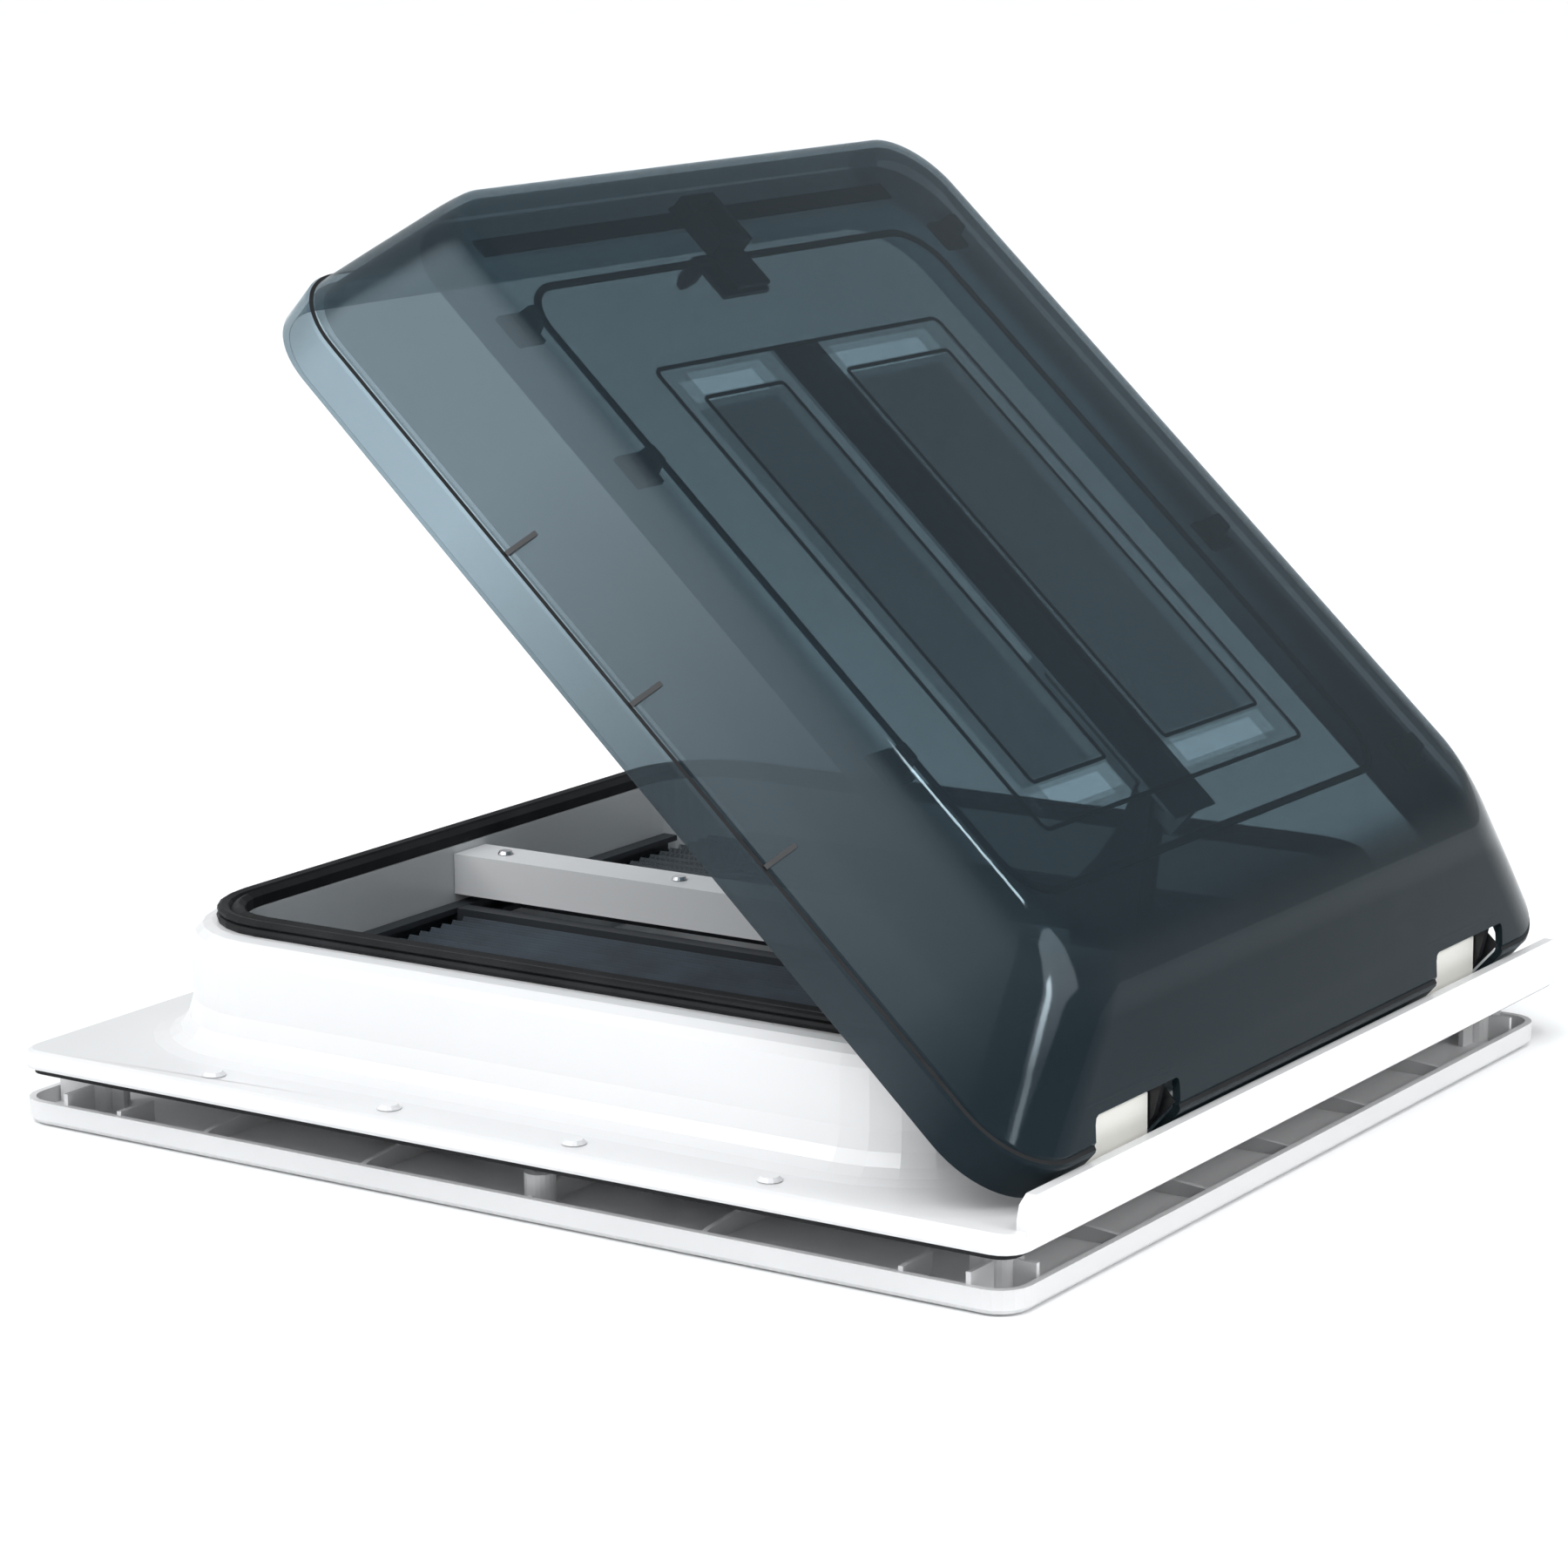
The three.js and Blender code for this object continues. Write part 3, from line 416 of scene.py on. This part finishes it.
def loft(rings, cap_first=True, cap_last=True, closed=False, shaded_band=None):
    """Joins rings of equally many points. shaded_band is (ring number, material number) for one band with
    its own material, used for the painted shade in the lid's crease.
    """
    shape = bmesh.new()
    rows = [[shape.verts.new(point) for point in ring] for ring in rings]
    pairs = list(zip(rows, rows[1:]))
    if closed:
        pairs.append((rows[-1], rows[0]))
    for number, (below, above) in enumerate(pairs):
        for i in range(len(below)):
            j = (i + 1) % len(below)
            face = shape.faces.new((below[i], below[j], above[j], above[i]))
            if shaded_band is not None and number == shaded_band[0]:
                face.material_index = shaded_band[1]
    if cap_first and not closed:
        shape.faces.new(list(reversed(rows[0])))
    if cap_last and not closed:
        shape.faces.new(rows[-1])
    bmesh.ops.recalc_face_normals(shape, faces=shape.faces)
    mesh = bpy.data.meshes.new("loft")
    shape.to_mesh(mesh)
    shape.free()
    return mesh


def ring_strip(x0, x1, half_y, corner, width, z0, z1):
    """A flat band that follows a rounded rectangle."""
    inner = (x0 + width, x1 - width, half_y - width, corner - width)
    return loft([
        rounded_rectangle(x0, x1, half_y, corner, z0),
        rounded_rectangle(x0, x1, half_y, corner, z1),
        rounded_rectangle(*inner, z1),
        rounded_rectangle(*inner, z0),
    ], closed=True)


def block(x0, x1, y0, y1, z0, z1, rounding=0.5):
    """A box with rounded edges."""
    shape = bmesh.new()
    bmesh.ops.create_cube(shape, size=1)
    size = Vector((x1 - x0, y1 - y0, z1 - z0))
    middle = Vector((x0 + x1, y0 + y1, z0 + z1)) / 2
    for vertex in shape.verts:
        vertex.co = (Vector(a * b for a, b in zip(vertex.co, size)) + middle) * MM
    bmesh.ops.bevel(shape, geom=shape.edges[:], offset=rounding * MM, segments=2, affect="EDGES",
                    profile=0.5)
    mesh = bpy.data.meshes.new("block")
    shape.to_mesh(mesh)
    shape.free()
    return mesh


def joined(meshes):
    """Several meshes as one."""
    shape = bmesh.new()
    for mesh in meshes:
        shape.from_mesh(mesh)
    whole = bpy.data.meshes.new("joined")
    shape.to_mesh(whole)
    shape.free()
    return whole


# ---------- lid ----------
# Sections of the outer skin from the lip up, in millimetres of change from the lip's own
# rectangle: height, front, rear, half width, corner.
LID_RECTANGLE = (-223.5, 243.5, 231.8, 36)
LID_SECTIONS = [
    (0, 0, 0, 0, 0), (1.0, -0.2, 0.2, 0.2, 0), (18.2, 0, 0, 0, 0), (19.5, 0.7, -0.7, -0.8, -0.5),
    (20.1, 2.2, -2.2, -2.4, -2), (21.5, 2.5, -2.5, -2.8, -2), (35, 3, -16, -17.3, -2),
    (50, 3.7, -31.5, -33.8, -2), (58, 4.2, -40.5, -42.6, -2.5), (63.5, 5, -49, -49, -3),
    (67, 6.5, -58, -54.5, -5), (68.6, 11, -70, -62, -9),
]
CREASE_ROW = 3
FIRST_CROWN_ROW = 6
SKIN = 3.0


def ease(before, start, end, after, t):
    """Catmull-Rom curve through start and end."""
    return 0.5 * (2 * start + (end - before) * t + (2 * before - 5 * start + 4 * end - after) * t * t
                  + (3 * start - before - 3 * end + after) * t ** 3)


def eased_sections():
    """The sections, with extra ones eased between the rows of the crown."""
    rows = LID_SECTIONS[:FIRST_CROWN_ROW + 1]
    crown = LID_SECTIONS[FIRST_CROWN_ROW:]
    for i in range(len(crown) - 1):
        before = crown[max(i - 1, 0)]
        after = crown[min(i + 2, len(crown) - 1)]
        for step in (0.25, 0.5, 0.75, 1.0):
            rows.append(tuple(
                ease(a, b, c, d, step) for a, b, c, d in zip(before, crown[i], crown[i + 1], after)))
    return rows


def lid_rings(inset, drop):
    """The skin's rings, drawn in by an inset and lowered by a drop."""
    front, rear, half_y, corner = LID_RECTANGLE
    rings = []
    for height, d_front, d_rear, d_side, d_corner in eased_sections():
        rings.append(rounded_rectangle(
            front + d_front + inset, rear + d_rear - inset, half_y + d_side - inset,
            corner + d_corner - inset * 0.8, LIP_Z + max(height - drop, 0)))
    return rings


NOTCH_HALF_WIDTH = 32.5
NOTCH_X = (211, 260)
NOTCH_Z = (30, 73)


def cut_notch(obj, middle):
    """Cuts the opening for one hinge block out of the shell, at a middle in millimetres along Y."""
    cutter = bpy.data.objects.new("cutter", block(
        *NOTCH_X, middle - NOTCH_HALF_WIDTH, middle + NOTCH_HALF_WIDTH, *NOTCH_Z, 2.5))
    bpy.context.collection.objects.link(cutter)
    cutter.data.transform(lid_to_world())
    bpy.context.view_layer.update()
    notch = obj.modifiers.new("notch", "BOOLEAN")
    notch.operation = "DIFFERENCE"
    notch.solver = "MANIFOLD"
    notch.object = cutter
    bpy.context.view_layer.update()
    evaluated = obj.evaluated_get(bpy.context.evaluated_depsgraph_get())
    cut_mesh = bpy.data.meshes.new_from_object(evaluated)
    obj.modifiers.clear()
    obj.data = cut_mesh
    bpy.data.objects.remove(cutter)


def lid_shell():
    """The outer skin with its crease, crown and hinge notches; the crease band is black, as painted shade
    in the crease.
    """
    inner = lid_rings(SKIN, SKIN * 0.6)
    outer = lid_rings(0, 0)
    rings = list(reversed(inner)) + outer
    # The crease band takes the black rubber look: painted shade in the crease.
    mesh = loft(rings, shaded_band=(len(inner) + CREASE_ROW, 1))
    obj = link_mesh("lid_shell", mesh, ["smoked_acrylic", "black_rubber"], "lid")
    for side in (-1, 1):
        cut_notch(obj, side * HINGE_Y / MM)
    smooth(obj.data, 28)
    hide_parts("lid_outer_skin")


PAN_TOP = 95.2


def lid_pan():
    """The inner skin: a flat sheet with an embossed rectangle."""
    rings = [
        rounded_rectangle(-214.7, 203.7, 189.7, 32, 92.7),
        rounded_rectangle(-215.5, 204.5, 190.5, 33, 93.2),
        rounded_rectangle(-215.5, 204.5, 190.5, 33, PAN_TOP - 0.5),
        rounded_rectangle(-214.7, 203.7, 189.7, 32, PAN_TOP),
        rounded_rectangle(-123.6, 125.6, 106.6, 4.4, PAN_TOP),
        rounded_rectangle(-120.6, 122.6, 103.6, 3.4, PAN_TOP + 2.6),
        rounded_rectangle(-119.6, 121.6, 102.6, 3, PAN_TOP + 3),
    ]
    obj = link_mesh("lid_pan", loft(rings), ["smoked_acrylic_inner"], "lid")
    smooth(obj.data, 25)
    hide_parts("lid_inner_skin")


def pan_seams_and_bevel_shade():
    """Black lines on the inner skin: the bonded border, and painted shade on the bevels of the embossed
    rectangle and its panels.
    """
    bands = [
        ring_strip(-176.5, 153.5, 151, 24, 3.2, PAN_TOP + 0.1, PAN_TOP + 1.4),
        # Painted shade: a black band on the bevel at the foot of the embossed rectangle.
        ring_strip(-125.5, 127.5, 108.5, 5, 1.8, PAN_TOP + 0.1, PAN_TOP + 0.9),
        block(-203.5, -194.5, -152, 152, PAN_TOP + 0.1, PAN_TOP + 1.5, 0.6),
    ]
    # Painted shade: black bands on the bevels round each panel.
    for y0, y1 in PANEL_SIDES:
        middle = (y0 + y1) / 2
        band = ring_strip(-105.4, 107.4, (y1 - y0) / 2, 3, 1.6, PAN_TOP + 3.1, PAN_TOP + 3.8)
        for vertex in band.vertices:
            vertex.co.y += middle * MM
        bands.append(band)
    obj = link_mesh("pan_seams_and_bevel_shade", joined(bands), ["black_rubber"], "lid")
    smooth(obj.data, 35)


WEB_PLACES = (87.5, 4.5, -74.5)
WEB_HALF_THICKNESS = 1.1


def crease_web(x, side):
    """One web across the crease, from its outline in Y and Z."""
    half_y = LID_RECTANGLE[2]
    foot = LIP_Z + 20.6
    profile = [(half_y - 1.6, foot), (half_y - 3.6, foot + 2.2), (half_y - 12.2, foot + 10.2),
               (half_y - 12.6, foot + 8.2), (half_y - 4.4, foot - 0.4)]
    shape = bmesh.new()
    rims = []
    for across in (-WEB_HALF_THICKNESS, WEB_HALF_THICKNESS):
        rims.append([shape.verts.new(Vector((x + across, side * y, z)) * MM) for y, z in profile])
    for i in range(len(profile)):
        j = (i + 1) % len(profile)
        shape.faces.new((rims[0][i], rims[0][j], rims[1][j], rims[1][i]))
    shape.faces.new(rims[0])
    shape.faces.new(list(reversed(rims[1])))
    bmesh.ops.recalc_face_normals(shape, faces=shape.faces)
    mesh = bpy.data.meshes.new("web")
    shape.to_mesh(mesh)
    shape.free()
    return mesh


def crease_webs():
    """Small webs that stiffen the crease, three on each long side."""
    webs = [crease_web(x, side) for x in WEB_PLACES for side in (-1, 1)]
    link_mesh("crease_webs", joined(webs), ["black_plastic"], "lid")


def hinge_notch_shadows():
    """Thin black walls round the hinge blocks, open at the bottom and the rear: painted shadow in the
    gaps of the notches.
    """
    for name, side in (("near", -1), ("far", 1)):
        middle = side * HINGE_Y / MM
        # Painted shadow: black walls where the gap round each hinge block lies in shadow.
        meshes = [
            block(211, 239.5, middle - 33.4, middle - 32.3, 45, 64, 0.3),
            block(211, 239.5, middle + 32.3, middle + 33.4, 45, 64, 0.3),
            block(211, 212.2, middle - 33, middle + 33, 63, 88, 0.3),
            block(211, 229.5, middle - 33.4, middle + 33.4, 72.6, 73.8, 0.3),
        ]
        link_mesh(f"hinge_notch_shadow_{name}", joined(meshes), ["black_plastic"], "lid")


# ---------- blind and insect screen ----------
FABRIC_X = 167.5
PLEAT = 8.0
PLEAT_Z = 55.0
PLEAT_DEPTH = 3.0


def pleated_sheet(name, slot, node, y0, y1):
    """One folded sheet between its end rail and its pull bar, in millimetres along Y."""
    halves = 2 * round((y1 - y0) / PLEAT)
    steps = 4 * halves
    across = 24
    profile = []
    for i in range(steps + 1):
        turn = math.asin(0.97 * math.cos(math.pi * i / 4)) / math.asin(0.97)
        profile.append((y0 + (y1 - y0) * i / steps, PLEAT_Z - PLEAT_DEPTH * turn))
    shape = bmesh.new()
    rows = []
    for y, z in profile:
        rows.append([shape.verts.new(Vector((-FABRIC_X + 2 * FABRIC_X * k / across, y, z)) * MM)
                     for k in range(across + 1)])
    for below, above in zip(rows, rows[1:]):
        for k in range(across):
            shape.faces.new((below[k], below[k + 1], above[k + 1], above[k]))
    mesh = bpy.data.meshes.new(name)
    shape.to_mesh(mesh)
    shape.free()
    smooth(mesh, 60)
    obj = link_mesh(name, mesh, [slot], "frame")
    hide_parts(node)
    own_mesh(obj)


def screens():
    pleated_sheet("blind_cloth", "blind_cloth", "blind_fabric",
                  -171.7, -22.3)
    pleated_sheet("screen_cloth", "screen_cloth", "screen_fabric",
                  34.8, 171.7)


# ---------- ceiling trim ----------
def collar_dark_strips():
    """Dark strips on the collar, two on each long side."""
    for side, sign in (("near", -1), ("far", 1)):
        for number, (x0, x1) in enumerate(((-98, -43), (46, 106)), 1):
            y0, y1 = sorted((sign * 176.4, sign * 178.2))
            link_mesh(f"collar_strip_{side}_{number}", block(x0, x1, y0, y1, 5.5, 13.5, 0.6),
                      ["black_rubber"], "frame")


# ---------- stage, light and camera ----------
def floor():
    mesh = bpy.data.meshes.new("floor")
    size = 60
    corners = [(-size, -size, -0.001), (size, -size, -0.001), (size, size, -0.001), (-size, size, -0.001)]
    mesh.from_pydata(corners, [], [(0, 1, 2, 3)])
    obj = bpy.data.objects.new("floor", mesh)
    bpy.context.collection.objects.link(obj)
    nodes = Nodes("floor_paper")
    nodes.colour(nodes.ramp(nodes.noise(3, 4), (0.94, 0.945, 0.95), (0.965, 0.97, 0.975)))
    nodes.set(Roughness=0.9)
    mesh.materials.append(nodes.material)


def soft_light(name, place, aim, size, power):
    light = bpy.data.lights.new(name, "AREA")
    light.shape = "RECTANGLE"
    light.size, light.size_y = size
    light.energy = power
    obj = bpy.data.objects.new(name, light)
    obj.location = place
    obj.rotation_euler = (Vector(aim) - Vector(place)).to_track_quat("-Z", "Y").to_euler()
    obj.visible_camera = False
    bpy.context.collection.objects.link(obj)


def studio_glow(tree, strength, direction, inner, outer, amount):
    """Adds amount to the world's strength round a direction, fading between two angles in degrees."""
    toward = tree.nodes.new("ShaderNodeVectorMath")
    toward.operation = "DOT_PRODUCT"
    toward.inputs[1].default_value = Vector(direction).normalized()
    place = tree.nodes.new("ShaderNodeTexCoord")
    tree.links.new(place.outputs["Generated"], toward.inputs[0])
    fade = tree.nodes.new("ShaderNodeMapRange")
    fade.interpolation_type = "SMOOTHSTEP"
    fade.inputs["From Min"].default_value = math.cos(math.radians(outer))
    fade.inputs["From Max"].default_value = math.cos(math.radians(inner))
    fade.inputs["To Max"].default_value = amount
    tree.links.new(toward.outputs["Value"], fade.inputs["Value"])
    total = tree.nodes.new("ShaderNodeMath")
    tree.links.new(strength, total.inputs[0])
    tree.links.new(fade.outputs["Result"], total.inputs[1])
    return total.outputs["Value"]


def studio():
    """Even white light, with a soft box up in front of the lid and a dark side behind it."""
    world = bpy.data.worlds.new("studio")
    bpy.context.scene.world = world
    world.use_nodes = True
    tree = world.node_tree
    background = tree.nodes["Background"]
    background.inputs["Color"].default_value = (0.965, 0.985, 1.0, 1)
    soft_box, dark_side = (0.04, -0.56, 0.83), (0.1, 0.84, 0.53)
    even = tree.nodes.new("ShaderNodeValue")
    even.outputs["Value"].default_value = 0.68
    strength = studio_glow(tree, even.outputs["Value"], soft_box, 8, 30, 4.2)
    strength = studio_glow(tree, strength, dark_side, 14, 40, -0.3)
    tree.links.new(strength, background.inputs["Strength"])


def lighting():
    centre = (0.0, 0.0, 0.15)
    soft_light("key_left", (-2.2, -2.4, 2.2), centre, (1.4, 1.4), 34)
    soft_light("fill_right", (2.6, 0.2, 1.6), centre, (1.2, 1.2), 20)
    soft_light("edge_strip", (0.64, -0.11, 0.92), (0.21, -0.18, 0.15), (0.12, 0.14), 1.5)
    soft_light("corner_strip", (1.14, -0.2, 0.51), (0.24, -0.2, 0.09), (0.06, 0.3), 1.6)
    studio()


def camera():
    azimuth, elevation, roll = CAMERA_AZIMUTH, CAMERA_ELEVATION, CAMERA_ROLL
    back = Vector((
        math.sin(azimuth) * math.cos(elevation),
        -math.cos(azimuth) * math.cos(elevation),
        math.sin(elevation),
    ))
    level_right = Vector((math.cos(azimuth), math.sin(azimuth), 0))
    level_up = back.cross(level_right)
    right = level_right * math.cos(roll) + level_up * math.sin(roll)
    up = level_up * math.cos(roll) - level_right * math.sin(roll)
    data = bpy.data.cameras.new("camera")
    data.lens = CAMERA_LENS
    data.sensor_width = 36
    data.clip_end = 200
    obj = bpy.data.objects.new("camera", data)
    turn = Matrix((right, up, back)).transposed().to_4x4()
    obj.matrix_world = Matrix.Translation(CAMERA_PLACE) @ turn
    bpy.context.collection.objects.link(obj)
    bpy.context.scene.camera = obj
    bpy.context.scene.view_settings.view_transform = "Standard"


camera()
finish_cad_nodes()
lid_shell()
lid_pan()
pan_seams_and_bevel_shade()
crease_webs()
hinge_notch_shadows()
screens()
collar_dark_strips()
floor()
lighting()
